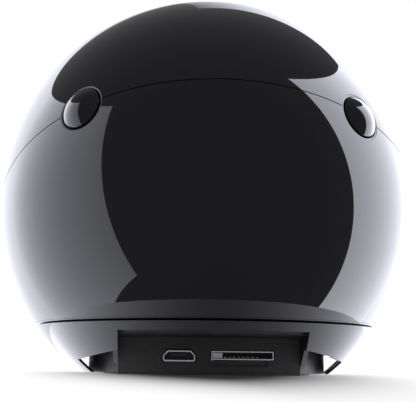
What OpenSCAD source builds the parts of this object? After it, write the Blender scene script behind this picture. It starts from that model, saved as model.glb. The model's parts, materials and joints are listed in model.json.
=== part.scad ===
// Ball-shaped smart speaker: two glossy shells that meet on a tilted seam, standing on a skirted base.
// Millimetres. +Z is up, -Y is the front (grille), +Y is the back (ports). The origin is on the table,
// under the ball's centre.

/* [Ball] */
// Diameter of the ball
ball_d = 110; // [104:1:116]
// Height of the ball's centre above the table
ball_z = 44.4; // [44:0.1:45]
// Thickness of the two shells
shell_wall = 2.2; // [1.8:0.1:2.6]
// Forward lean of the axis that the upper shell is round about
seam_tilt = 26; // [24:0.5:28]
// Distance of the seam plane from the ball's centre, along that axis
seam_offset = -5.7; // [-6.5:0.1:-5]
// Width of the seam
seam_gap = 0.25; // [0.2:0.05:0.5]

/* [Base] */
// Height of the middle of the shadow groove above the table
groove_z = 12.15; // [12:0.05:12.4]
// Height of the shadow groove
groove_h = 0.8; // [0.7:0.1:1]
// Depth of the shadow groove, down to its glossy floor
groove_depth = 0.5; // [0.4:0.1:1]
// Thickness of the base skirt
skirt_wall = 1.5; // [1.3:0.1:1.7]
// Diameter of the upright foot collar that the arch shows
collar_d = 61.4; // [60.8:0.2:62]
// Azimuth of each end of the arch, from straight back
arch_angle = 61.7; // [60:0.5:64]
// Height that the arch would reach behind the bay
arch_top = 7.5; // [7.1:0.1:7.8]
// Height of the gap under the skirt at the front
toe_gap = 5.2; // [4.6:0.2:6]
// Height that the rubber foot stands proud of the base
foot_proud = 0.4; // [0.3:0.1:0.6]

/* [Port bay] */
// Width of the bay
bay_w = 42.6; // [41:0.2:44]
// Sideways place of the bay's middle
bay_x = 1; // [0:0.5:1.5]
// Height of the bay's upper edge above the table
bay_top = 9.8; // [9.4:0.1:10.2]
// Distance of the port panel's face behind the ball's centre
panel_y = 25.4; // [25:0.2:26.4]
// Sideways place of the USB socket
usb_x = 8.2; // [7.8:0.1:8.6]
// Sideways place of the memory card socket
card_x = -6.7; // [-7:0.1:-6.4]
// Height of the USB socket's middle above the table
port_z = 4.4; // [4.2:0.1:4.6]
// Height of the memory card socket's middle above the table
card_z = 4.6; // [4.4:0.1:4.8]

/* [Buttons] */
// Angle of each button from straight back, seen from above
button_azimuth = 36.9; // [35.5:0.1:38]
// Angle of each button above the ball's equator
button_elevation = 15; // [14.4:0.1:15.6]
// Diameter of a button's cap
cap_d = 10; // [9.6:0.1:10.2]
// Diameter of the well that the cap sits in
well_d = 11.7; // [11.4:0.1:12.4]
// How far a cap's crown stands out from the ball
cap_proud = 1.9; // [1.6:0.1:2.2]

/* [Speaker] */
// Upward lean of the speaker's axis at the front
driver_tilt = 10; // [8:1:12]
// Angle that the grille covers, from its middle to its edge
grille_angle = 33; // [31:1:34]
// Diameter of the speaker cone at its outer edge
cone_d = 38; // [36:1:40]

/* [Hidden] */
$fn = 96;

ball_r = ball_d / 2;
shell_in = ball_r - shell_wall;
skirt_in = ball_r - skirt_wall;
collar_r = collar_d / 2;
collar_wall = 1.5;
band_out = shell_in - 0.05;
band_in = band_out - 1.5;
groove_top = groove_z + groove_h / 2;
groove_bottom = groove_z - groove_h / 2;
base_z = foot_proud;
floor_z = 1.3;
band_below = 1;
band_above = 2.4;
far = 200;

// base
foot_r = 27;
foot_w = 5;
foot_inset = 0.8;
foot_back = 22.9;
screw_recess = 0.5;
collar_top = groove_bottom - 2.2;
chassis_z = 14;
chassis_t = 1.6;
base_post_r = 3;
base_screw_r = 1.2;
base_posts = [[-19, 4], [19, 4], [-8, -17], [8, -17]];
ballast_r = 24;
ballast_z = 2.6;
ballast_t = 5.6;
ballast_back = -1;
ballast_at = [[-9, -7], [9, -7]];

// arch in the back of the skirt, and the gap at its front
arch_r = 127;
toe_angle = 83;
skirt_edge = 0.6;
skirt_edge_top = 5.6;

// ports
panel_t = 1.2;
panel_drop = 1.1;
lip_z = 0.1;
lip_t = 0.4;
lip_proud = 0.2;
bay_low = lip_z + lip_t + 0.05;
bay_wall = 1.2;
board_t = 0.8;
port_board_z = port_z - 2.1;
usb_w = 7.5;
usb_h = 2.5;
usb_depth = 5.4;
usb_wall = 0.3;
card_w = 14.7;
card_h = 2;
card_depth = 14.6;
card_wall = 0.25;
card_travel_room = 2.4;
slider_x = card_x + card_w / 2 - card_wall - 2.4;

// buttons
crown_rim = 0.1;
well_bevel = 0.75;
cap_gap = 0.35;
bore_r = cap_d / 2 + cap_gap;
ring_bottom = ball_r - 5.6;
ring_flange_r = 8.6;
ring_flange_t = 1.8;
cap_flange_r = 7;
cap_flange_t = 1;
cap_flange_z = ring_bottom - 0.3 - cap_flange_t;
stem_r = 1.6;
stem_l = 2.1;
housing_r = 8.6;
housing_in = 7.5;
housing_bottom = ring_bottom - 9.2;
switch_board_z = housing_bottom + 1.1;
switch_board_t = 1;
switch_body_z = switch_board_z + switch_board_t;
switch_body_h = 2.1;
switch_body_w = 5;
plunger_r = 1.4;
plunger_clear = 0.3;

// speaker, measured along its own axis from the ball's centre
grille_t = 0.8;
grille_r = ball_r - 0.1;
ring_angle = grille_angle + 2.6;
light_angle = ring_angle + 1.4;
hole_r = 1;
hole_rings = 5;
hole_step = 5;
baffle_z = 36;
baffle_t = 2.5;
baffle_r = 35.9;
boss_at = 34.6;
flange_r = 27;
flange_t = 1.6;
basket_top = baffle_z + baffle_t;
basket_r = 22.8;
basket_foot_r = 15;
basket_foot_z = 23.42;
basket_wall = 1.2;
magnet_r = 16;
magnet_bottom = 12;
magnet_h = 9;
plate_r = 15;
plate_t = 2.4;
pole_r = 6;
gap_r = 7.6;
coil_r = 6.8;
coil_wall = 0.5;
coil_bottom = 19;
coil_top = 29;
cone_t = 0.6;
cone_top = 37.6;
surround_t = 0.5;
chamber_r = 27.6;
chamber_wall = 1.6;
chamber_back = 6.4;

// electronics
main_w = 64;
main_h = 44;
main_t = 1.6;
main_z = -4;
main_post_r = 2.4;
main_post_x = 19;
main_post_y = 16;
main_screw_r = 1;
cell_d = 18.4;
cell_l = 65;
cell_y = 23;
cell_z = 32;
pad_r = 6;
mic_r = 7.9;
mic_hole_r = 0.6;

// places
module at_seam() { translate([0, 0, ball_z]) rotate([seam_tilt, 0, 0]) children(); }
module at_speaker() { translate([0, 0, ball_z]) rotate([90 - driver_tilt, 0, 0]) children(); }
module at_button(side) {
    translate([0, 0, ball_z])
        rotate([0, 0, -side * button_azimuth])
            rotate([button_elevation - 90, 0, 0])
                children();
}
module ball(r) { translate([0, 0, ball_z]) sphere(r = r); }
module slab(bottom, top) { translate([-far / 2, -far / 2, bottom]) cube([far, far, top - bottom]); }
module tube(r_out, r_in, bottom, top) {
    difference() {
        translate([0, 0, bottom]) cylinder(r = r_out, h = top - bottom);
        translate([0, 0, bottom - 1]) cylinder(r = r_in, h = top - bottom + 2);
    }
}
module disc(r, bottom, top) { translate([0, 0, bottom]) cylinder(r = r, h = top - bottom); }
module ball_shell(r_out, r_in, bottom, top) {
    intersection() {
        difference() {
            ball(r_out);
            ball(r_in);
        }
        slab(bottom, top);
    }
}
// pan-head screw, head up, its shank going down from z = 0
module screw(shank_r, length, head_r, head_h) {
    translate([0, 0, -length]) cylinder(r = shank_r, h = length);
    difference() {
        cylinder(r1 = head_r, r2 = head_r * 0.8, h = head_h);
        translate([-head_r * 0.6, -0.2, head_h * 0.4]) cube([head_r * 1.2, 0.4, head_h]);
        translate([-0.2, -head_r * 0.6, head_h * 0.4]) cube([0.4, head_r * 1.2, head_h]);
    }
}

// openings in the skirt
module bay_space() {
    translate([bay_x - bay_w / 2, panel_y, -1]) cube([bay_w, far / 2, bay_top + 1]);
}
// wedge that opens towards +Y, to this many degrees either side
module sector(angle, bottom, top) {
    translate([0, 0, bottom])
        linear_extrude(height = top - bottom)
            polygon([[0, 0], [far / 2 * tan(angle), far / 2], [-far / 2 * tan(angle), far / 2]]);
}
module arch_space() {
    intersection() {
        translate([0, 0, arch_top - arch_r])
            rotate([-90, 0, 0])
                cylinder(r = arch_r, h = far / 2, $fn = 360);
        sector(arch_angle, -1, arch_top + 1);
    }
}
module button_holes(r) {
    for (side = [-1, 1]) at_button(side) translate([0, 0, shell_in - 8]) cylinder(r = r, h = 20);
}

module upper_shell() {
    color([0.02, 0.02, 0.025]) difference() {
        union() {
            intersection() {
                difference() {
                    ball(ball_r);
                    ball(shell_in);
                }
                at_seam() translate([-far / 2, -far / 2, seam_offset + seam_gap / 2]) cube(far);
            }
            intersection() {
                at_speaker()
                    for (a = [45:90:315])
                        rotate([0, 0, a]) translate([boss_at, 0, basket_top + 0.05])
                            cylinder(r = 1.6, h = 8);
                ball(shell_in + 0.5);
            }
        }
        at_speaker() cylinder(r = ball_r * sin(light_angle) + 0.05, h = far);
        button_holes(well_d / 2 + 0.05);
        at_seam() translate([0, 0, ball_r - 1.2]) cylinder(r = pad_r + 0.15, h = 5);
        at_seam()
            for (a = [45:90:315])
                rotate([0, 0, a]) translate([mic_r, 0, 40]) cylinder(r = mic_hole_r, h = 20);
        at_speaker()
            for (a = [45:90:315])
                rotate([0, 0, a]) translate([boss_at, 0, basket_top - 1]) cylinder(r = 0.8, h = 3.2);
    }
}

module rear_shell() {
    color([0.02, 0.02, 0.025]) difference() {
        intersection() {
            ball_shell(ball_r, shell_in, groove_top, far);
            at_seam() translate([-far / 2, -far / 2, seam_offset - seam_gap / 2 - far]) cube(far);
        }
        button_holes(well_d / 2 + 0.05);
    }
}

// snap ring that laps both shells behind the seam
module seam_ring() {
    color([0.03, 0.03, 0.03]) difference() {
        intersection() {
            difference() {
                ball(band_out);
                ball(band_in);
            }
            at_seam() translate([-far / 2, -far / 2, seam_offset - 2]) cube([far, far, 4]);
            slab(15.9, far);
        }
        button_holes(ring_flange_r + 0.5);
        at_speaker() cylinder(r = chamber_r + 8.6, h = far);
    }
}

module groove_band() {
    color([0.03, 0.03, 0.03]) {
        ball_shell(band_out, band_in, groove_bottom - band_below, groove_top + band_above);
        ball_shell(ball_r - groove_depth, band_in + 0.5, groove_bottom + 0.03, groove_top - 0.03);
    }
}

// the skirt reaches the table only between the arch and the gap at the front, with a thin lower edge
module base_skirt() {
    color([0.02, 0.02, 0.025]) difference() {
        ball_shell(ball_r, skirt_in, base_z, groove_bottom);
        bay_space();
        arch_space();
        mirror([0, 1, 0]) sector(toe_angle, -1, toe_gap);
        intersection() {
            ball(ball_r - skirt_edge);
            slab(-1, skirt_edge_top);
        }
    }
}

module base_cup() {
    color([0.03, 0.03, 0.035]) {
        difference() {
            union() {
                tube(collar_r, collar_r - collar_wall, base_z, collar_top);
                disc(collar_r, base_z, floor_z);
                for (p = ballast_at) translate([p[0], p[1], floor_z - 0.1]) cylinder(r = 2.6, h = 1.3);
            }
            translate([bay_x - bay_w / 2 - bay_wall - 0.1, panel_y - panel_t - 0.1, -1])
                cube([bay_w + 2 * bay_wall + 0.2, 30, 20]);
            foot_ring(0.1, -1, base_z + foot_inset);
            for (p = base_posts) translate([p[0], p[1], -1]) cylinder(r = 1.4, h = 6);
            for (p = base_posts) translate([p[0], p[1], -1])
                cylinder(r = 2.5, h = 1 + base_z + screw_recess);
            for (p = ballast_at) translate([p[0], p[1], base_z + 0.6]) cylinder(r = 0.9, h = 4);
        }
        translate([bay_x - bay_w / 2, foot_back + 0.1, lip_z])
            cube([bay_w, panel_y + lip_proud - foot_back - 0.1, lip_t]);
    }
}

// ring that the speaker stands on, cut off straight behind so that it stays clear of the bay
module foot_ring(grow, bottom, top) {
    intersection() {
        tube(foot_r + grow, foot_r - foot_w - grow, bottom, top);
        translate([-far / 2, foot_back + grow - far, bottom]) cube([far, far, top - bottom]);
    }
}
module rubber_foot() {
    color([0.05, 0.05, 0.05]) foot_ring(0, 0, foot_proud + foot_inset);
}

// floor plate of the ball, with four posts that the base screws reach
module chassis() {
    color([0.06, 0.06, 0.065]) difference() {
        union() {
            intersection() {
                slab(chassis_z, chassis_z + chassis_t);
                ball(band_in - 0.05);
            }
            for (p = base_posts)
                translate([p[0], p[1], floor_z + 0.05]) cylinder(r = base_post_r, h = chassis_z - floor_z);
        }
        for (p = base_posts) translate([p[0], p[1], 0]) cylinder(r = base_screw_r + 0.03, h = 12);
        translate([-10, 10, chassis_z - 1]) cube([20, 8, 5]);
        for (x = [-26, 26]) translate([x, -16, chassis_z - 1]) cylinder(r = 6, h = 5);
        at_speaker() disc(baffle_r + 0.2, baffle_z - 0.2, basket_top + 0.2);
    }
}

module ballast_weight() {
    color([0.35, 0.35, 0.37]) difference() {
        intersection() {
            disc(ballast_r, ballast_z, ballast_z + ballast_t);
            translate([-30, -30, 0]) cube([60, 30 + ballast_back, 20]);
        }
        for (p = base_posts) translate([p[0], p[1], 0]) cylinder(r = base_post_r + 0.4, h = 20);
        for (p = ballast_at) translate([p[0], p[1], 0]) cylinder(r = 1.1, h = 20);
    }
}

module base_screws() {
    color([0.55, 0.55, 0.57])
        for (p = base_posts)
            translate([p[0], p[1], base_z + screw_recess]) mirror([0, 0, 1])
                rotate([0, 0, 20]) screw(base_screw_r, 8.6, 2.2, screw_recess - 0.05);
}

module ballast_screws() {
    color([0.55, 0.55, 0.57])
        for (p = ballast_at) translate([p[0], p[1], ballast_z + ballast_t]) screw(0.85, 6.4, 2, 1.2);
}

module port_panel() {
    color([0.05, 0.05, 0.045]) difference() {
        translate([bay_x - bay_w / 2, panel_y - panel_t, bay_low])
            cube([bay_w, panel_t, bay_top - panel_drop - bay_low]);
        translate([usb_x, 0, port_z]) rotate([-90, 0, 0]) linear_extrude(height = 60) usb_outline(0.35);
        translate([card_x - card_w / 2 - 0.25, 0, card_z - card_h / 2 - 0.2])
            cube([card_w + 0.5, 60, card_h + 0.4]);
        translate([card_x - card_w / 2 + 1.4, panel_y - 0.8, card_z - card_h / 2 - 1.5])
            cube([card_w * 0.84, 5, 2]);
    }
}

// the bay's side walls and sloping ceiling, cut to the ball
module port_bay() {
    color([0.02, 0.02, 0.025]) intersection() {
        ball(skirt_in - 0.05);
        difference() {
            translate([bay_x - bay_w / 2 - bay_wall, panel_y - panel_t, bay_low])
                cube([bay_w + 2 * bay_wall, 30, bay_top + bay_wall - 0.05 - bay_low]);
            rotate([90, 0, 90]) translate([0, 0, bay_x - bay_w / 2]) linear_extrude(height = bay_w)
                polygon([
                    [panel_y - panel_t - 1, 0], [60, 0], [60, bay_top], [skirt_in - 12.5, bay_top],
                    [panel_y, bay_top - panel_drop], [panel_y - panel_t - 1, bay_top - panel_drop]
                ]);
        }
        slab(0, groove_bottom - band_below - 0.1);
    }
}

module port_board() {
    color([0.05, 0.2, 0.1])
        translate([-14.6, 7, port_board_z]) cube([29, panel_y - panel_t - 0.1 - 7, board_t]);
}

// outline of a micro USB shell seen along +Y, y downwards: its two upper corners are cut off
module usb_outline(grow) {
    polygon([
        [-usb_w / 2 - grow, -usb_h * 0.05], [-usb_w * 0.36 - grow * 0.6, -usb_h / 2 - grow],
        [usb_w * 0.36 + grow * 0.6, -usb_h / 2 - grow], [usb_w / 2 + grow, -usb_h * 0.05],
        [usb_w / 2 + grow, usb_h * 0.36], [usb_w * 0.46 + grow * 0.8, usb_h / 2 + grow],
        [-usb_w * 0.46 - grow * 0.8, usb_h / 2 + grow], [-usb_w / 2 - grow, usb_h * 0.36]
    ]);
}
module usb_at(back) { translate([usb_x, panel_y - back, port_z]) rotate([-90, 0, 0]) children(); }

module usb_shell() {
    color([0.75, 0.75, 0.77]) difference() {
        usb_at(usb_depth) linear_extrude(height = usb_depth + 0.15) usb_outline(0);
        usb_at(usb_depth - 0.3) linear_extrude(height = 20) usb_outline(-usb_wall);
    }
}
module usb_housing() {
    color([0.03, 0.03, 0.03]) usb_at(usb_depth - 0.35) linear_extrude(height = 1.2)
        usb_outline(-usb_wall - 0.05);
}
module usb_tongue() {
    color([0.25, 0.25, 0.25])
        translate([usb_x - 2, panel_y - usb_depth + 1.6, port_z - 0.05]) cube([4, 3.2, 0.6]);
}

module card_shell() {
    z_low = card_z - card_h / 2;
    feet_z = port_board_z + board_t;
    color([0.7, 0.7, 0.72]) difference() {
        union() {
            translate([card_x - card_w / 2, panel_y - card_depth, z_low])
                cube([card_w, card_depth + 0.1, card_h]);
            for (x = [card_x - card_w / 2, card_x + card_w / 2 - 1])
                translate([x, panel_y - card_depth + 2, feet_z]) cube([1, 8, z_low - feet_z + 0.1]);
        }
        translate([card_x - card_w / 2 + card_wall, panel_y - card_depth + 1, z_low + card_wall])
            cube([card_w - 2 * card_wall, card_depth, card_h - 2 * card_wall]);
    }
}
module card_base() {
    color([0.08, 0.08, 0.08]) {
        translate([card_x - 6.9, panel_y - card_depth + 1.1, card_z - card_h / 2 + 0.28])
            cube([11.5, 3, 1.4]);
        translate([card_x - 6.9, panel_y - card_depth + 1.1, card_z - card_h / 2 + 0.28])
            cube([11.5, 12.6, 0.2]);
    }
}
module card_contacts() {
    color([0.85, 0.7, 0.35])
        for (i = [0:7])
            translate([card_x - 4 + i * 1.1, panel_y - card_depth + 4.2, card_z - card_h / 2 + 0.5])
                cube([0.5, 8.4, 0.15]);
}
// the sprung block that a card pushes in and that pushes the card out again
module card_slider() {
    color([0.6, 0.6, 0.6]) difference() {
        translate([slider_x, panel_y - card_depth + 1 + card_travel_room, card_z - 0.6])
            cube([2.2, card_depth - card_travel_room - 1.6, 1.2]);
        translate([card_x + card_w / 2 - card_wall - 2.8, panel_y - card_depth, card_z - 0.1])
            cube([1.2, 8, 2]);
    }
}
module port_chips() {
    color([0.04, 0.04, 0.04]) {
        translate([5, 12, port_board_z + board_t]) cube([4, 4, 0.9]);
        translate([10.4, 9, port_board_z + board_t]) cube([3, 3, 1.4]);
        translate([10.6, 14, port_board_z + board_t]) cube([2, 1.2, 1]);
        translate([4.6, 8.2, port_board_z + board_t]) cube([4.6, 2.6, 2.6]);
    }
}

module button_cap() {
    crown_h = cap_proud + crown_rim;
    crown_r = (pow(cap_d / 2, 2) + pow(crown_h, 2)) / (2 * crown_h);
    intersection() {
        translate([0, 0, ball_r + cap_proud - crown_r]) sphere(r = crown_r);
        disc(cap_d / 2, ball_r - crown_rim - 0.01, ball_r + cap_proud + 1);
    }
    disc(cap_d / 2, cap_flange_z, ball_r - crown_rim);
    disc(cap_flange_r, cap_flange_z, cap_flange_z + cap_flange_t);
    disc(stem_r, cap_flange_z - stem_l, cap_flange_z + 0.5);
}
module button_ring() {
    well_r = well_d / 2;
    lip_z = sqrt(pow(ball_r, 2) - pow(well_r, 2));
    rotate_extrude()
        polygon([
            [bore_r, ring_bottom], [ring_flange_r, ring_bottom],
            [ring_flange_r, ring_bottom + ring_flange_t], [well_r, ring_bottom + ring_flange_t],
            [well_r, lip_z], [well_r - 0.15, lip_z], [bore_r, lip_z - well_bevel - 0.5]
        ]);
}
module button_housing() {
    tube(housing_r, housing_in, housing_bottom, ring_bottom - 0.02);
    disc(housing_in + 0.2, housing_bottom, housing_bottom + 1);
}
module switch_body() {
    difference() {
        translate([-switch_body_w / 2, -switch_body_w / 2, switch_body_z])
            cube([switch_body_w, switch_body_w, switch_body_h]);
        disc(plunger_r + plunger_clear, switch_body_z + 0.3, far);
    }
}
module switch_plunger() { disc(plunger_r, switch_body_z + 1.4, cap_flange_z - stem_l); }
module button_dome() {
    low = switch_body_z + 0.05;
    high = cap_flange_z - 0.05;
    rotate_extrude()
        polygon([[5.4, low], [6.6, low], [6.6, low + 0.6], [3, high], [2.3, high], [5.4, low + 0.6]]);
}

module left_button_cap() { color([0.02, 0.02, 0.025]) at_button(-1) button_cap(); }
module left_button_ring() { color([0.03, 0.03, 0.035]) at_button(-1) button_ring(); }
module left_button_housing() { color([0.1, 0.1, 0.1]) at_button(-1) button_housing(); }
module left_switch_board() {
    color([0.05, 0.2, 0.1]) at_button(-1)
        disc(housing_in - 0.1, switch_board_z, switch_board_z + switch_board_t);
}
module left_switch_body() { color([0.3, 0.3, 0.3]) at_button(-1) switch_body(); }
module left_switch_plunger() { color([0.1, 0.1, 0.1]) at_button(-1) switch_plunger(); }
module left_button_dome() { color([0.6, 0.6, 0.58]) at_button(-1) button_dome(); }
module right_button_cap() { color([0.02, 0.02, 0.025]) at_button(1) button_cap(); }
module right_button_ring() { color([0.03, 0.03, 0.035]) at_button(1) button_ring(); }
module right_button_housing() { color([0.1, 0.1, 0.1]) at_button(1) button_housing(); }
module right_switch_board() {
    color([0.05, 0.2, 0.1]) at_button(1)
        disc(housing_in - 0.1, switch_board_z, switch_board_z + switch_board_t);
}
module right_switch_body() { color([0.3, 0.3, 0.3]) at_button(1) switch_body(); }
module right_switch_plunger() { color([0.1, 0.1, 0.1]) at_button(1) switch_plunger(); }
module right_button_dome() { color([0.6, 0.6, 0.58]) at_button(1) button_dome(); }

// round perforated cap that follows the ball
module front_grille() {
    color([0.12, 0.12, 0.13]) at_speaker() difference() {
        intersection() {
            difference() {
                sphere(r = grille_r);
                sphere(r = grille_r - grille_t);
            }
            disc(ball_r * sin(grille_angle) - 0.1, 30, 70);
        }
        for (ring = [0:hole_rings])
            for (i = [0:max(0, 6 * ring - 1)])
                rotate([0, 0, i * 60 / max(1, ring)])
                    rotate([0, ring * hole_step, 0])
                        disc(hole_r, 50, 60);
    }
}
// trim ring in front of the grille's edge, with a step that the grille rests on
module grille_ring() {
    r_in = ball_r * sin(grille_angle);
    r_out = ball_r * sin(ring_angle);
    r_step = r_in - 1.4;
    back = basket_top + 0.1;
    color([0.25, 0.25, 0.27]) at_speaker() intersection() {
        sphere(r = ball_r + 0.2);
        union() {
            tube(r_out - 0.05, r_in + 0.05, back, far);
            tube(r_out - 0.05, r_step, back, sqrt(pow(grille_r - grille_t, 2) - pow(r_step, 2)) - 1);
        }
    }
}
module light_ring() {
    r_in = ball_r * sin(ring_angle);
    r_out = ball_r * sin(light_angle);
    color([0.8, 0.85, 0.9]) at_speaker() intersection() {
        sphere(r = ball_r - 0.1);
        tube(r_out, r_in + 0.02, 41.4, far);
    }
}
module light_board() {
    r_mid = ball_r * (sin(ring_angle) + sin(light_angle)) / 2;
    color([0.9, 0.9, 0.88]) at_speaker() {
        tube(r_mid + 0.5, r_mid - 0.5, 39.6, 40.4);
        for (a = [0:30:330]) rotate([0, 0, a]) translate([r_mid - 0.4, -0.8, 40.4]) cube([0.8, 1.6, 0.8]);
    }
}

module baffle() {
    color([0.06, 0.06, 0.065]) at_speaker() difference() {
        disc(baffle_r, baffle_z, basket_top);
        disc(basket_r + 0.2, 0, far);
        for (a = [45:90:315]) rotate([0, 0, a]) translate([boss_at, 0, 0]) disc(0.95, 0, far);
        for (a = [0:90:270]) rotate([0, 0, a]) translate([25, 0, 0]) disc(0.95, 0, far);
    }
}
module baffle_screws() {
    color([0.55, 0.55, 0.57]) at_speaker()
        for (a = [45:90:315])
            rotate([0, 0, a]) translate([boss_at, 0, baffle_z]) mirror([0, 0, 1]) screw(0.75, 4.4, 1.5, 1);
}
module speaker_basket() {
    color([0.15, 0.15, 0.16]) at_speaker() difference() {
        union() {
            tube(flange_r, basket_r - basket_wall, basket_top, basket_top + flange_t);
            rotate_extrude()
                polygon([
                    [basket_foot_r - 4, basket_foot_z], [basket_foot_r + basket_wall, basket_foot_z],
                    [basket_r, basket_top - 4], [basket_r, basket_top + 0.1],
                    [basket_r - basket_wall, basket_top + 0.1], [basket_r - basket_wall, basket_top - 3.6],
                    [basket_foot_r, basket_foot_z + basket_wall],
                    [basket_foot_r - 4, basket_foot_z + basket_wall]
                ]);
        }
        for (a = [0:60:300])
            rotate([0, 0, a + 30]) translate([10, -5, basket_foot_z + 2])
                cube([20, 10, basket_top - 6 - basket_foot_z]);
        for (a = [0:90:270]) rotate([0, 0, a]) translate([25, 0, 0]) disc(0.95, 0, far);
    }
}
module speaker_screws() {
    color([0.55, 0.55, 0.57]) at_speaker()
        for (a = [0:90:270]) rotate([0, 0, a]) translate([25, 0, basket_top + flange_t])
            screw(0.8, 3.8, 1.7, 1);
}
module speaker_magnet() {
    color([0.2, 0.2, 0.21]) at_speaker() tube(magnet_r, 9, magnet_bottom, magnet_bottom + magnet_h);
}
module speaker_plates() {
    top = magnet_bottom + magnet_h;
    color([0.6, 0.6, 0.62]) at_speaker() {
        disc(plate_r, magnet_bottom - plate_t, magnet_bottom);
        disc(pole_r, magnet_bottom - 0.1, top + plate_t);
        tube(plate_r, gap_r, top, top + plate_t);
    }
}
module voice_coil() {
    color([0.7, 0.4, 0.2]) at_speaker()
        tube(coil_r + coil_wall / 2, coil_r - coil_wall / 2, coil_bottom, coil_top);
}
module speaker_cone() {
    r_in = coil_r + coil_wall / 2 + 0.02;
    r_out = cone_d / 2;
    color([0.07, 0.07, 0.075]) at_speaker() rotate_extrude()
        polygon([
            [r_in, coil_top - 2.4], [r_out, cone_top - cone_t], [r_out + 0.6, cone_top - cone_t],
            [r_out + 0.6, cone_top], [r_out, cone_top], [r_in, coil_top - 1.2]
        ]);
}
module speaker_dust_cap() {
    cap_r = 9;
    bulge = 3.2;
    dome_r = (pow(cap_r, 2) + pow(bulge, 2)) / (2 * bulge);
    rim = coil_top - 0.1;
    color([0.05, 0.05, 0.055]) at_speaker() intersection() {
        difference() {
            translate([0, 0, rim + bulge - dome_r]) sphere(r = dome_r);
            translate([0, 0, rim + bulge - dome_r]) sphere(r = dome_r - 0.5);
        }
        disc(cap_r - 0.4, rim + 0.2, rim + 10);
    }
}
module speaker_surround() {
    r_in = cone_d / 2 + 0.2;
    r_out = basket_r - basket_wall + 1;
    r_mid = (cone_d / 2 + 0.6 + basket_r - basket_wall) / 2;
    color([0.04, 0.04, 0.04]) at_speaker() rotate_extrude() intersection() {
        difference() {
            translate([r_mid, cone_top + 0.05]) circle(r = (r_out - r_in) / 2);
            translate([r_mid, cone_top + 0.05]) circle(r = (r_out - r_in) / 2 - surround_t);
        }
        translate([0, cone_top + 0.05]) square([basket_r - basket_wall - 0.1, 10]);
    }
}
module speaker_spider() {
    low = basket_foot_z + basket_wall + 0.05;
    color([0.75, 0.6, 0.3]) at_speaker()
        tube(basket_foot_r - 1.5, coil_r + coil_wall / 2 + 0.05, low, low + 0.4);
}
module speaker_chamber() {
    color([0.08, 0.08, 0.085]) at_speaker() {
        tube(chamber_r, chamber_r - chamber_wall, chamber_back, baffle_z - 0.02);
        disc(chamber_r - 0.5, chamber_back, chamber_back + chamber_wall);
        for (x = [-1, 1])
            for (y = [-1, 1])
                translate([x * main_post_x, y * main_post_y, main_z + 0.02])
                    tube(main_post_r, main_screw_r + 0.03, 0, chamber_back - main_z + 0.1);
    }
}

module main_board() {
    color([0.05, 0.25, 0.12]) at_speaker() difference() {
        translate([-main_w / 2, -main_h / 2, main_z - main_t]) cube([main_w, main_h, main_t]);
        for (x = [-1, 1])
            for (y = [-1, 1])
                translate([x * main_post_x, y * main_post_y, 0]) disc(main_screw_r + 0.2, -20, 0);
    }
}
module main_chips() {
    top = main_z - main_t;
    color([0.05, 0.05, 0.05]) at_speaker() {
        translate([-7, -7, top - 1.3]) cube([14, 14, 1.3]);
        translate([10, -4, top - 1.1]) cube([7, 9, 1.1]);
        translate([-17, -6, top - 0.9]) cube([6, 6, 0.9]);
        translate([-9, -20, top - 1.6]) cube([18, 5, 1.6]);
        for (i = [0:3]) translate([22, -6 + i * 4, top - 1.8]) cube([3, 2.6, 1.8]);
        for (i = [0:2]) translate([-25, -8 + i * 7.5, 0]) disc(2.6, top - 5.2, top);
        for (i = [0:9]) translate([-14 + i * 2.6, 10, top - 0.5]) cube([1, 0.6, 0.5]);
    }
}
module wifi_shield() {
    color([0.7, 0.7, 0.72]) at_speaker() translate([-8, 12.4, main_z - main_t - 2.2]) cube([16, 9, 2.2]);
}
module board_screws() {
    color([0.55, 0.55, 0.57]) at_speaker()
        for (x = [-1, 1])
            for (y = [-1, 1])
                translate([x * main_post_x, y * main_post_y, main_z - main_t]) mirror([0, 0, 1])
                    screw(0.95, 6, 1.9, 1.2);
}
module battery() {
    color([0.2, 0.35, 0.6]) translate([-cell_l / 2, cell_y, cell_z]) rotate([0, 90, 0]) {
        cylinder(d = cell_d, h = cell_l - 1);
        cylinder(d = 6, h = cell_l);
    }
}
module battery_holder() {
    r_out = cell_d / 2 + 1.8;
    color([0.06, 0.06, 0.065]) difference() {
        union() {
            for (x = [-24, 18])
                translate([x, cell_y - r_out, chassis_z + chassis_t + 0.02])
                    cube([6, 2 * r_out, cell_z - 14]);
            translate([-24, cell_y - 6, chassis_z + chassis_t + 0.02]) cube([48, 12, 2]);
        }
        translate([-50, cell_y, cell_z]) rotate([0, 90, 0]) cylinder(d = cell_d + 0.3, h = 100);
    }
}
module microphone_board() {
    color([0.05, 0.2, 0.1]) at_seam() {
        tube(mic_r + 1.2, mic_r - 4, 47.6, 48.6);
        for (a = [45:90:315])
            rotate([0, 0, a]) translate([mic_r - 1.3, -1.9, 48.6]) cube([2.6, 3.8, 1.1]);
    }
}
module touch_pad() {
    color([0.03, 0.03, 0.035]) at_seam() intersection() {
        sphere(r = ball_r - 0.1, $fn = 240);
        disc(pad_r, ball_r - 1.18, ball_r + 1);
    }
}

upper_shell();
rear_shell();
seam_ring();
groove_band();
base_skirt();
base_cup();
rubber_foot();
chassis();
ballast_weight();
base_screws();
ballast_screws();
port_panel();
port_bay();
port_board();
usb_shell();
usb_tongue();
usb_housing();
card_shell();
card_contacts();
card_base();
card_slider();
port_chips();
left_button_cap();
left_button_ring();
left_button_housing();
left_switch_board();
left_switch_body();
left_switch_plunger();
left_button_dome();
right_button_cap();
right_button_ring();
right_button_housing();
right_switch_board();
right_switch_body();
right_switch_plunger();
right_button_dome();
front_grille();
grille_ring();
light_ring();
light_board();
baffle();
baffle_screws();
speaker_basket();
speaker_magnet();
speaker_plates();
speaker_cone();
speaker_surround();
speaker_dust_cap();
voice_coil();
speaker_spider();
speaker_screws();
speaker_chamber();
main_board();
main_chips();
wifi_shield();
board_screws();
battery();
battery_holder();
microphone_board();
touch_pad();
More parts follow.
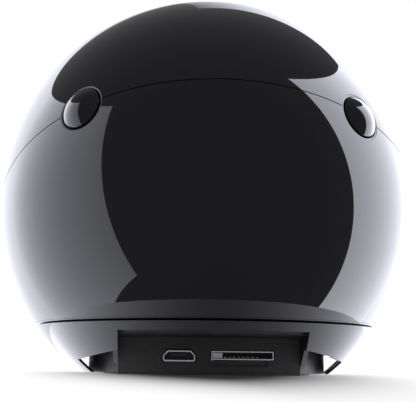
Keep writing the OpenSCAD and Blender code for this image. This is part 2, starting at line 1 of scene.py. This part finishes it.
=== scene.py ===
"""Looks of the ball-shaped smart speaker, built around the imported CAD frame.

Metres, +Z up. The back of the speaker, with its ports and buttons, faces +Y and the camera.
"""

import json
import math

import bmesh
import bpy
from mathutils import Matrix, Vector

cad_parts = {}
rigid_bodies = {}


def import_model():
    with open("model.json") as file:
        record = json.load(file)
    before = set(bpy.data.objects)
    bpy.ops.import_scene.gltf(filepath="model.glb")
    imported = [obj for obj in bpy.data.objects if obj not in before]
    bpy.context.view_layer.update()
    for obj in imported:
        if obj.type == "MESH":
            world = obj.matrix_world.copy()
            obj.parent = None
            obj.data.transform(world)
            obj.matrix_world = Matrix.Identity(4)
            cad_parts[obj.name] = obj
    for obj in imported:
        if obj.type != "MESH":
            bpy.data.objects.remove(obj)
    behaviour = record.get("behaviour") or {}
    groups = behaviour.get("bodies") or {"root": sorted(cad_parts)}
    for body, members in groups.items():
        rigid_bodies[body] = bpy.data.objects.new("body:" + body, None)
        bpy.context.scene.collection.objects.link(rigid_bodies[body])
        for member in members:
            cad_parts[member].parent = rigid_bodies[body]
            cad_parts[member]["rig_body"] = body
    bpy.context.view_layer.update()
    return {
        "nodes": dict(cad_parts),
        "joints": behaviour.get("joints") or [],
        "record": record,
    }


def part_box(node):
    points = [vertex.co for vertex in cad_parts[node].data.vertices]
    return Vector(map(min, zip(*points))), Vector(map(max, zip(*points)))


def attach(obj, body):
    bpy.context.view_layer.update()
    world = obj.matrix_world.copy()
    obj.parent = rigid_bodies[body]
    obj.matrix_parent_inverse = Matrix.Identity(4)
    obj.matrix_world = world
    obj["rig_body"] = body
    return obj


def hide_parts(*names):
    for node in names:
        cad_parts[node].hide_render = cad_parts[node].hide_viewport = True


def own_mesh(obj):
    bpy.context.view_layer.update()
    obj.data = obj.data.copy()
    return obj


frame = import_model()

MM = 0.001
NODES = frame["nodes"]
JOINTS = {j["name"]: j for j in frame["joints"]}


# ---------------------------------------------------------------- places

def body_of_node(node):
    """Name of the CAD body that a node rides on."""
    return NODES[node]["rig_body"]


shell_low, shell_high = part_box("upper_shell")
BALL_R = (shell_high.x - shell_low.x) / 2
CENTRE = Vector((0, 0, shell_high.z - BALL_R))


def along(axis):
    """Matrix whose origin is the ball's centre and whose local +Z is the axis, with local Y upright."""
    z = Vector(axis).normalized()
    x = Vector((0, 0, 1)).cross(z).normalized()
    y = z.cross(x)
    turn = Matrix((x, y, z)).transposed().to_4x4()
    return Matrix.Translation(CENTRE) @ turn


AT_BUTTON = {side: along(-Vector(JOINTS[side + "_button_press"]["axis"])) for side in ("left", "right")}


# ---------------------------------------------------------------- material helpers

# the part of a noise's range that its values mostly fill
NOISE_LOW, NOISE_HIGH = 0.3, 0.7


def material(name, color, rough, **settings):
    """A Principled material; the settings are named by their sockets, with spaces written as underscores."""
    m = bpy.data.materials.new(name)
    m.use_nodes = True
    shader = m.node_tree.nodes["Principled BSDF"]
    shader.inputs["Base Color"].default_value = (*color, 1)
    shader.inputs["Roughness"].default_value = rough
    for key, value in settings.items():
        shader.inputs[key.replace("_", " ")].default_value = value
    return m


def link_noise(m, scale, low, high, target="Roughness", detail=4.0, stretch=(1, 1, 1)):
    """Varies one of the shader's values between low and high with a noise of the given scale (per metre)."""
    t = m.node_tree
    shader = t.nodes["Principled BSDF"]
    coords = t.nodes.new("ShaderNodeTexCoord")
    mapping = t.nodes.new("ShaderNodeMapping")
    mapping.inputs["Scale"].default_value = stretch
    noise = t.nodes.new("ShaderNodeTexNoise")
    noise.inputs["Scale"].default_value = scale
    noise.inputs["Detail"].default_value = detail
    ramp = t.nodes.new("ShaderNodeMapRange")
    ramp.inputs["From Min"].default_value = NOISE_LOW
    ramp.inputs["From Max"].default_value = NOISE_HIGH
    ramp.inputs["To Min"].default_value = low
    ramp.inputs["To Max"].default_value = high
    t.links.new(coords.outputs["Object"], mapping.inputs["Vector"])
    t.links.new(mapping.outputs["Vector"], noise.inputs["Vector"])
    t.links.new(noise.outputs["Fac"], ramp.inputs["Value"])
    t.links.new(ramp.outputs["Result"], shader.inputs[target])
    return m


def link_colors(m, scale, dark, light, detail=3.0, stretch=(1, 1, 1)):
    """Varies the base colour between two colours with a noise."""
    t = m.node_tree
    shader = t.nodes["Principled BSDF"]
    coords = t.nodes.new("ShaderNodeTexCoord")
    mapping = t.nodes.new("ShaderNodeMapping")
    mapping.inputs["Scale"].default_value = stretch
    noise = t.nodes.new("ShaderNodeTexNoise")
    noise.inputs["Scale"].default_value = scale
    noise.inputs["Detail"].default_value = detail
    ramp = t.nodes.new("ShaderNodeValToRGB")
    ramp.color_ramp.elements[0].position = NOISE_LOW
    ramp.color_ramp.elements[0].color = (*dark, 1)
    ramp.color_ramp.elements[1].position = NOISE_HIGH
    ramp.color_ramp.elements[1].color = (*light, 1)
    t.links.new(coords.outputs["Object"], mapping.inputs["Vector"])
    t.links.new(mapping.outputs["Vector"], noise.inputs["Vector"])
    t.links.new(noise.outputs["Fac"], ramp.inputs["Fac"])
    t.links.new(ramp.outputs["Color"], shader.inputs["Base Color"])
    return m


def link_bump(m, scale, distance, strength=1.0, detail=6.0, stretch=(1, 1, 1), kind="noise"):
    """Adds a fine bump: noise for moulded or cast grain, cells for a woven or pressed face."""
    t = m.node_tree
    shader = t.nodes["Principled BSDF"]
    coords = t.nodes.new("ShaderNodeTexCoord")
    mapping = t.nodes.new("ShaderNodeMapping")
    mapping.inputs["Scale"].default_value = stretch
    if kind == "noise":
        texture = t.nodes.new("ShaderNodeTexNoise")
        texture.inputs["Detail"].default_value = detail
        height = texture.outputs["Fac"]
    else:
        texture = t.nodes.new("ShaderNodeTexVoronoi")
        height = texture.outputs["Distance"]
    texture.inputs["Scale"].default_value = scale
    bump = t.nodes.new("ShaderNodeBump")
    bump.inputs["Strength"].default_value = strength
    bump.inputs["Distance"].default_value = distance
    t.links.new(coords.outputs["Object"], mapping.inputs["Vector"])
    t.links.new(mapping.outputs["Vector"], texture.inputs["Vector"])
    t.links.new(height, bump.inputs["Height"])
    t.links.new(bump.outputs["Normal"], shader.inputs["Normal"])
    return m


# ---------------------------------------------------------------- materials

# one for each slot of the record, and bay_black for the port bay


def gloss_black():
    """Piano-black moulded plastic: near mirror, with faint polishing haze."""
    m = material("gloss_black", (0.0035, 0.0035, 0.0045), 0.02, IOR=1.5)
    link_noise(m, 90, 0.012, 0.035, detail=5)
    return m


def collar_black():
    m = material("collar_black", (0.008, 0.008, 0.009), 0.5, IOR=1.5)
    link_noise(m, 600, 0.46, 0.56)
    return link_bump(m, 4500, 0.00003, 0.3)


def bay_black():
    """The bay's liner: the shells' black, but left satin by its mould."""
    m = material("bay_black", (0.003, 0.003, 0.0035), 0.45, IOR=1.5, Specular_IOR_Level=0.25)
    link_noise(m, 900, 0.4, 0.52)
    return link_bump(m, 4500, 0.00003, 0.3)


def matte_black():
    m = material("matte_black", (0.012, 0.012, 0.012), 0.55)
    link_noise(m, 900, 0.5, 0.62)
    return link_bump(m, 4500, 0.00004, 0.4)


def panel_black():
    m = material("panel_black", (0.018, 0.018, 0.0165), 0.5)
    link_colors(m, 700, (0.014, 0.014, 0.0128), (0.022, 0.022, 0.02))
    link_noise(m, 1500, 0.42, 0.56)
    return link_bump(m, 5200, 0.00004, 0.5)


def rubber_black():
    m = material("rubber_black", (0.012, 0.012, 0.012), 0.75)
    link_noise(m, 500, 0.68, 0.82)
    return link_bump(m, 2600, 0.00006, 0.5)


def iron():
    m = material("iron", (0.2, 0.2, 0.21), 0.5, Metallic=1.0)
    link_colors(m, 300, (0.14, 0.14, 0.145), (0.26, 0.26, 0.27))
    return link_bump(m, 1200, 0.0002, 0.8)


def plated(name, color, rough, spread=0.08, scale=600, stretch=(1, 1, 1)):
    """A plated metal with slightly uneven polish."""
    m = material(name, color, rough, Metallic=1.0)
    return link_noise(m, scale, max(rough - spread, 0.03), rough + spread, stretch=stretch)


def socket_plastic():
    m = material("socket_plastic", (0.02, 0.02, 0.02), 0.4)
    return link_noise(m, 1800, 0.34, 0.46)


def circuit_board():
    m = material("circuit_board", (0.01, 0.07, 0.035), 0.35, Coat_Weight=0.4)
    return link_colors(m, 420, (0.008, 0.055, 0.028), (0.015, 0.1, 0.05))


def chip_black():
    m = material("chip_black", (0.015, 0.015, 0.015), 0.55)
    return link_bump(m, 3800, 0.00003, 0.4)


def light_board_white():
    m = material("light_board_white", (0.75, 0.75, 0.73), 0.4)
    return link_noise(m, 800, 0.35, 0.45)


def silicone_grey():
    m = material("silicone_grey", (0.42, 0.42, 0.4), 0.6, Subsurface_Weight=0.2)
    return link_noise(m, 600, 0.52, 0.66)


def grille_metal():
    m = material("grille_metal", (0.014, 0.014, 0.016), 0.38, Metallic=0.3, Coat_Weight=0.25)
    link_noise(m, 1400, 0.32, 0.46)
    return link_bump(m, 5200, 0.00002, 0.4)


def light_diffuser():
    m = material("light_diffuser", (0.72, 0.75, 0.78), 0.35, Subsurface_Weight=0.4)
    return link_noise(m, 700, 0.3, 0.42)


def basket_metal():
    m = material("basket_metal", (0.03, 0.03, 0.032), 0.45, Metallic=0.4)
    return link_bump(m, 2200, 0.00004, 0.5)


def magnet_ferrite():
    m = material("magnet_ferrite", (0.05, 0.05, 0.052), 0.6, Metallic=0.5)
    return link_bump(m, 1500, 0.00008, 0.6)


def cone_paper():
    m = material("cone_paper", (0.016, 0.016, 0.018), 0.8, Sheen_Weight=0.2)
    link_colors(m, 900, (0.012, 0.012, 0.013), (0.024, 0.024, 0.026))
    return link_bump(m, 2400, 0.0001, 0.8)


def surround_rubber():
    m = material("surround_rubber", (0.012, 0.012, 0.012), 0.5)
    return link_noise(m, 500, 0.44, 0.58)


def spider_cloth():
    m = material("spider_cloth", (0.5, 0.36, 0.15), 0.75)
    return link_bump(m, 1800, 0.0001, 0.8, kind="cells")


def battery_wrap():
    m = material("battery_wrap", (0.04, 0.13, 0.33), 0.28, Coat_Weight=0.3)
    return link_noise(m, 260, 0.22, 0.36)


MATERIALS = {
    "gloss_black": gloss_black(),
    "collar_black": collar_black(),
    "matte_black": matte_black(),
    "panel_black": panel_black(),
    "rubber_black": rubber_black(),
    "iron": iron(),
    "screw_steel": plated("screw_steel", (0.55, 0.55, 0.57), 0.32),
    "socket_metal": plated("socket_metal", (0.78, 0.78, 0.8), 0.24, stretch=(1, 6, 1)),
    "socket_plastic": socket_plastic(),
    "slider_metal": plated("slider_metal", (0.6, 0.6, 0.6), 0.4),
    "contact_gold": plated("contact_gold", (0.85, 0.62, 0.28), 0.25),
    "circuit_board": circuit_board(),
    "chip_black": chip_black(),
    "light_board_white": light_board_white(),
    "silicone_grey": silicone_grey(),
    "grille_metal": grille_metal(),
    "trim_metal": plated("trim_metal", (0.24, 0.24, 0.26), 0.18, spread=0.05, scale=350),
    "light_diffuser": light_diffuser(),
    "basket_metal": basket_metal(),
    "magnet_ferrite": magnet_ferrite(),
    "plate_zinc": plated("plate_zinc", (0.6, 0.6, 0.6), 0.35),
    "cone_paper": cone_paper(),
    "surround_rubber": surround_rubber(),
    "coil_copper": plated("coil_copper", (0.6, 0.26, 0.12), 0.3, stretch=(1, 1, 14)),
    "spider_cloth": spider_cloth(),
    "battery_wrap": battery_wrap(),
}
SLOT_OF = {row["node"]: row["material_slot"] for row in frame["record"]["subparts"]}


def dress(obj, slot_name):
    """Gives an object one slot's material."""
    obj.data.materials.clear()
    obj.data.materials.append(MATERIALS[slot_name])
    return obj


for node_name, node_object in NODES.items():
    for s in node_object.material_slots:
        s.material = MATERIALS[SLOT_OF[node_name]]
for s in NODES["port_bay"].material_slots:
    s.material = bay_black()


# ---------------------------------------------------------------- mesh helpers

def new_piece(name, mesh, node, smooth_angle=35):
    """Puts a mesh in the scene as a piece that stands for a CAD node and rides on its body."""
    obj = bpy.data.objects.new(name, mesh)
    bpy.context.scene.collection.objects.link(obj)
    mesh.polygons.foreach_set("use_smooth", [True] * len(mesh.polygons))
    mesh.set_sharp_from_angle(angle=math.radians(smooth_angle))
    dress(obj, SLOT_OF[node])
    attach(obj, body_of_node(node))
    return obj


def ball_skin(node):
    """Copies a shell and gives its ball-shaped faces the ball's own normals, so that they mirror evenly."""
    mesh = NODES[node].data.copy()
    obj = new_piece(node + "_skin", mesh, node)
    near, outward = 0.02 * MM, 0.98
    outer = [abs((v.co - CENTRE).length - BALL_R) < near for v in mesh.vertices]
    normals = [Vector(c.vector) for c in mesh.corner_normals]
    for face in mesh.polygons:
        middle = face.center - CENTRE
        if all(outer[i] for i in face.vertices) and face.normal.dot(middle.normalized()) > outward:
            for corner in face.loop_indices:
                place = mesh.vertices[mesh.loops[corner].vertex_index].co
                normals[corner] = (place - CENTRE).normalized()
    mesh.normals_split_custom_set(normals)
    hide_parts(node)
    return obj


for shell in ("upper_shell", "rear_shell", "base_skirt"):
    ball_skin(shell)


def lathe(name, profile, node, place, segments=128):
    """Turns a profile of (radius, height) points in mm.

    The profile starts and ends on the axis, or it closes on itself.
    """
    bm = bmesh.new()
    rings = []
    for r, z in profile:
        if r < 1e-6:
            rings.append([bm.verts.new(place @ Vector((0, 0, z * MM)))])
        else:
            rings.append([
                bm.verts.new(place @ Vector((
                    r * MM * math.cos(2 * math.pi * k / segments),
                    r * MM * math.sin(2 * math.pi * k / segments), z * MM)))
                for k in range(segments)])
    closed = profile[0][0] > 1e-6
    pairs = list(zip(rings, rings[1:])) + ([(rings[-1], rings[0])] if closed else [])
    for a, b in pairs:
        for k in range(segments):
            n = (k + 1) % segments
            if len(a) == 1:
                bm.faces.new((a[0], b[k], b[n]))
            elif len(b) == 1:
                bm.faces.new((a[k], b[0], a[n]))
            else:
                bm.faces.new((a[k], b[k], b[n], a[n]))
    bmesh.ops.recalc_face_normals(bm, faces=bm.faces)
    mesh = bpy.data.meshes.new(name)
    bm.to_mesh(mesh)
    bm.free()
    piece = new_piece(name, mesh, node, 40)
    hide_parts(node)
    return piece


def arc(middle, r, start, end, steps):
    """Points of an arc, with its angles in degrees."""
    turn = [math.radians(start + (end - start) * k / steps) for k in range(steps + 1)]
    return [(middle[0] + r * math.cos(a), middle[1] + r * math.sin(a)) for a in turn]


def button_cap(side):
    """Push button: a stem, a flange, an upright wall, a small rolled edge and a domed crown."""
    cap_r, apex, dome_r, roll = 5.0, 56.9, 7.25, 0.28
    flange_r, flange_top, flange_low = 7, 49.12, 48.1
    stem_r, stem_low, edge = 1.6, 46, 0.1
    dome_z = apex - dome_r
    # the roll touches the wall and the dome from inside
    roll_at = (cap_r - roll, dome_z + math.sqrt((dome_r - roll) ** 2 - (cap_r - roll) ** 2))
    meet = math.degrees(math.atan2(roll_at[1] - dome_z, roll_at[0]))
    dome = arc((0, dome_z), dome_r, 90, meet, 28)
    dome[0] = (0, apex)
    profile = dome + arc(roll_at, roll, meet, 0, 8)[1:]
    profile += [
        (cap_r, flange_top), (flange_r - edge, flange_top), (flange_r, flange_top - edge),
        (flange_r, flange_low), (stem_r, flange_low),
        (stem_r, stem_low + edge / 2), (stem_r - edge, stem_low), (0, stem_low),
    ]
    return lathe(side + "_button_crown", profile, side + "_button_cap", AT_BUTTON[side])


def button_well(side):
    """Ring round a button, with a rolled lip at the ball's surface."""
    lip, roll = 54.66, 0.62
    outer, bore = 5.87, 5.06
    flange_r, flange_low, flange_top = 8.6, 49.4, 51.2
    profile = arc((bore + roll, lip - roll - 0.02), roll, 72, 180, 16)
    profile += [
        (bore, flange_low), (flange_r, flange_low), (flange_r, flange_top), (outer, flange_top), (outer, lip),
    ]
    return lathe(side + "_button_well", profile, side + "_button_ring", AT_BUTTON[side])


def button_boot(side):
    """Silicone spring dome under a button, in its resting shape."""
    low, high, press, spare = 42.35, 48.05, 0.8, 0.1
    foot_r, foot_bore, foot_h = 6.6, 5.4, 0.6
    top_r, top_bore, edge = 3.06, 2.3, 0.1
    top_drop, bore_slant = 0.08, 0.06
    place = AT_BUTTON[side]
    profile = [
        (foot_bore, low), (foot_r - edge, low), (foot_r, low + edge), (foot_r, low + foot_h),
        (top_r, high - top_drop), (top_r - edge, high),
        (top_bore + bore_slant, high), (top_bore, high - edge), (foot_bore - bore_slant, low + foot_h),
    ]
    boot = lathe(side + "_button_boot", profile, side + "_button_dome", place, 96)
    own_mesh(boot)
    return boot


for button_side in ("left", "right"):
    button_cap(button_side)
    button_well(button_side)
    button_boot(button_side)


# ---------------------------------------------------------------- floor, light and camera

def camera_direction(azimuth, elevation):
    """Direction seen from the ball: azimuth 0 is straight back (+Y) and grows towards -X, in degrees."""
    a, e = math.radians(azimuth), math.radians(elevation)
    return Vector((-math.sin(a) * math.cos(e), math.cos(a) * math.cos(e), math.sin(e)))


CARD_DISTANCE = 1.6


def glow_material(name):
    """Emission whose strength is the mesh's vertex attribute called glow."""
    m = bpy.data.materials.new(name)
    m.use_nodes = True
    t = m.node_tree
    t.nodes.clear()
    out = t.nodes.new("ShaderNodeOutputMaterial")
    emit = t.nodes.new("ShaderNodeEmission")
    emit.inputs["Color"].default_value = (0.95, 0.96, 1.06, 1)
    glow = t.nodes.new("ShaderNodeAttribute")
    glow.attribute_name = "glow"
    t.links.new(glow.outputs["Fac"], emit.inputs["Strength"])
    t.links.new(emit.outputs["Emission"], out.inputs["Surface"])
    return m


CARD_MATERIAL = glow_material("card_glow")


def glow_mesh(name, places, faces, glow):
    """A glowing mesh that only mirrors see; glow is its brightness at each vertex."""
    mesh = bpy.data.meshes.new(name)
    mesh.from_pydata([tuple(c) for c in places], [], faces)
    layer = mesh.attributes.new("glow", "FLOAT", "POINT")
    layer.data.foreach_set("value", [float(g) for g in glow])
    mesh.materials.append(CARD_MATERIAL)
    obj = bpy.data.objects.new(name, mesh)
    bpy.context.scene.collection.objects.link(obj)
    obj.visible_camera = False
    obj.visible_diffuse = False
    obj.visible_shadow = False
    obj.visible_transmission = False
    return obj


def softbox(name, near, far, glow):
    """A glowing panel with four corners: each upright edge is given by the directions of its two ends."""
    steps = 24
    places, levels = [], []
    for k in range(steps + 1):
        part = k / steps
        for start, end in zip(near, far):
            azimuth, elevation = (a + (b - a) * part for a, b in zip(start, end))
            places.append(CENTRE + camera_direction(azimuth, elevation) * CARD_DISTANCE)
            levels.append(glow[0] + (glow[1] - glow[0]) * part)
    faces = [(2 * k, 2 * k + 2, 2 * k + 3, 2 * k + 1) for k in range(steps)]
    return glow_mesh(name, places, faces, levels)


def cards():
    """A large softbox on either side of the ball, each with a second one that fades out in front of it."""
    left_turn, right_turn = ((-130, -60), (-130, 35)), ((125, -60), (125, 45))
    softbox("left_softbox", ((-50, -40), (-65, 40)), left_turn, (1.8, 3.7))
    softbox("left_fade", left_turn, ((-180, -60), (-180, 35)), (3.7, 0.4))
    softbox("right_softbox", ((85, -45), (60, 55)), right_turn, (5.5, 6.0))
    softbox("right_fade", right_turn, ((180, -60), (180, 55)), (5.5, 0.5))


def table_reflection():
    """Painted reflection of the table, which only mirrors see: a disc that is pale to the left and right, and
    dark at its middle, where it stands for painted shade under and round the ball.
    """
    radius, height, steps = 1.04 * BALL_R, 0.1 * MM, 48
    # dark is the painted shade round the ball, pale the lit table beside it
    dark, pale = 0.45, 4.0
    places, glow = [Vector((0, 0, height))], [dark]
    for k in range(steps):
        azimuth = 360 * k / steps
        places.append(camera_direction(azimuth, 0) * radius + places[0])
        glow.append(dark + (pale - dark) * math.sin(math.radians(azimuth)) ** 2)
    faces = [(0, 1 + k, 1 + (k + 1) % steps) for k in range(steps)]
    return glow_mesh("table_reflection", places, faces, glow)


def floor_glow_with_painted_shadow():
    """White light table with a painted soft oval shadow round the base, which is longest behind the speaker.
    """
    m = bpy.data.materials.new("floor_white_painted_shadow")
    m.use_nodes = True
    t = m.node_tree
    t.nodes.clear()

    def math_node(operation, a, b=0.0):
        n = t.nodes.new("ShaderNodeMath")
        n.operation = operation
        for k, value in enumerate((a, b)):
            if isinstance(value, float):
                n.inputs[k].default_value = value
            else:
                t.links.new(value, n.inputs[k])
        return n.outputs[0]

    place = t.nodes.new("ShaderNodeNewGeometry")
    split = t.nodes.new("ShaderNodeSeparateXYZ")
    t.links.new(place.outputs["Position"], split.inputs[0])
    # shape of the painted shadow, then how dark it gets and how far out it stays darkest
    half_width, reach_back, reach_front, bulge = 50 * MM, 170 * MM, 90 * MM, 1.4
    darkest, dark_until = 0.03, 0.3
    back = math_node("DIVIDE", split.outputs["Y"], reach_back)
    front = math_node("DIVIDE", split.outputs["Y"], -reach_front)
    side = math_node("DIVIDE", math_node("ABSOLUTE", split.outputs["X"]), half_width)
    along_y = math_node("POWER", math_node("MAXIMUM", back, front), bulge)
    total = math_node("ADD", math_node("POWER", side, bulge), along_y)
    ramp = t.nodes.new("ShaderNodeValToRGB")
    ramp.color_ramp.interpolation = "EASE"
    shade, clear = ramp.color_ramp.elements
    shade.position = dark_until
    shade.color = (darkest, darkest, darkest, 1)
    clear.color = (1, 1, 1, 1)
    t.links.new(math_node("POWER", total, 1 / bulge), ramp.inputs["Fac"])
    # emission only, so this shadow is painted and the lamps cast none on the floor
    emit = t.nodes.new("ShaderNodeEmission")
    out = t.nodes.new("ShaderNodeOutputMaterial")
    t.links.new(ramp.outputs["Color"], emit.inputs["Color"])
    t.links.new(emit.outputs["Emission"], out.inputs["Surface"])
    return m


def studio():
    """Pale floor with a painted shadow round the base, white surroundings for the camera, dark ones for
    mirrors, and the cards beside the ball.
    """
    scene = bpy.context.scene
    scene.view_settings.view_transform = "Standard"
    world = bpy.data.worlds.new("studio")
    scene.world = world
    world.use_nodes = True
    t = world.node_tree
    t.nodes.clear()
    out = t.nodes.new("ShaderNodeOutputWorld")
    rays = t.nodes.new("ShaderNodeLightPath")
    shades = []
    # as the camera sees it, as it lights matt faces, and as mirrors see it
    for color, strength in (((1, 1, 1, 1), 1.0), ((0.97, 0.98, 1, 1), 0.3), ((0.93, 0.93, 1.0, 1), 0.24)):
        shade = t.nodes.new("ShaderNodeBackground")
        shade.inputs["Color"].default_value = color
        shade.inputs["Strength"].default_value = strength
        shades.append(shade.outputs["Background"])
    seen, lit, mirrored = shades
    glossy_or_not = t.nodes.new("ShaderNodeMixShader")
    camera_or_not = t.nodes.new("ShaderNodeMixShader")
    t.links.new(rays.outputs["Is Glossy Ray"], glossy_or_not.inputs["Fac"])
    t.links.new(lit, glossy_or_not.inputs[1])
    t.links.new(mirrored, glossy_or_not.inputs[2])
    t.links.new(rays.outputs["Is Camera Ray"], camera_or_not.inputs["Fac"])
    t.links.new(glossy_or_not.outputs["Shader"], camera_or_not.inputs[1])
    t.links.new(seen, camera_or_not.inputs[2])
    t.links.new(camera_or_not.outputs["Shader"], out.inputs["Surface"])

    floor_mesh = bpy.data.meshes.new("floor")
    half = 12.0
    floor_mesh.from_pydata(
        [(-half, -half, 0), (half, -half, 0), (half, half, 0), (-half, half, 0)], [], [(0, 1, 2, 3)])
    floor_mesh.materials.append(floor_glow_with_painted_shadow())
    floor = bpy.data.objects.new("floor", floor_mesh)
    scene.collection.objects.link(floor)
    floor.visible_glossy = False
    cards()
    table_reflection()


def soft_sun(name, direction, spread, strength):
    """A far soft lamp that mirrors don't see."""
    data = bpy.data.lights.new(name, "SUN")
    data.energy = strength
    data.angle = math.radians(spread)
    lamp = bpy.data.objects.new(name, data)
    bpy.context.scene.collection.objects.link(lamp)
    lamp.rotation_mode = "QUATERNION"
    lamp.rotation_quaternion = camera_direction(*direction).to_track_quat("Z", "Y")
    lamp.visible_glossy = False
    return lamp


def camera():
    """Level with the table behind the speaker, a little to its side, looking up at the ball's middle."""
    yaw = math.radians(4.11)
    pitch = math.radians(11.12)
    roll = math.radians(0.61)
    distance = 4.0 * BALL_R
    drop = 0.75 * BALL_R
    data = bpy.data.cameras.new("camera")
    data.sensor_width = 36
    data.lens = 70.7
    data.clip_start = 0.01
    data.clip_end = 100
    cam = bpy.data.objects.new("camera", data)
    bpy.context.scene.collection.objects.link(cam)
    turn = Matrix.Rotation(math.pi - yaw, 4, "Z") @ Matrix.Rotation(math.pi / 2 + pitch, 4, "X")
    place = CENTRE + Vector((distance * math.sin(yaw), distance * math.cos(yaw), -drop))
    cam.matrix_world = Matrix.Translation(place) @ turn @ Matrix.Rotation(roll, 4, "Z")
    bpy.context.scene.camera = cam
    return cam


studio()
soft_sun("key_light", (182, 47), 24, 3.0)
soft_sun("left_light", (-105, 40), 30, 1.2)
soft_sun("right_light", (105, 40), 30, 1.2)
camera()
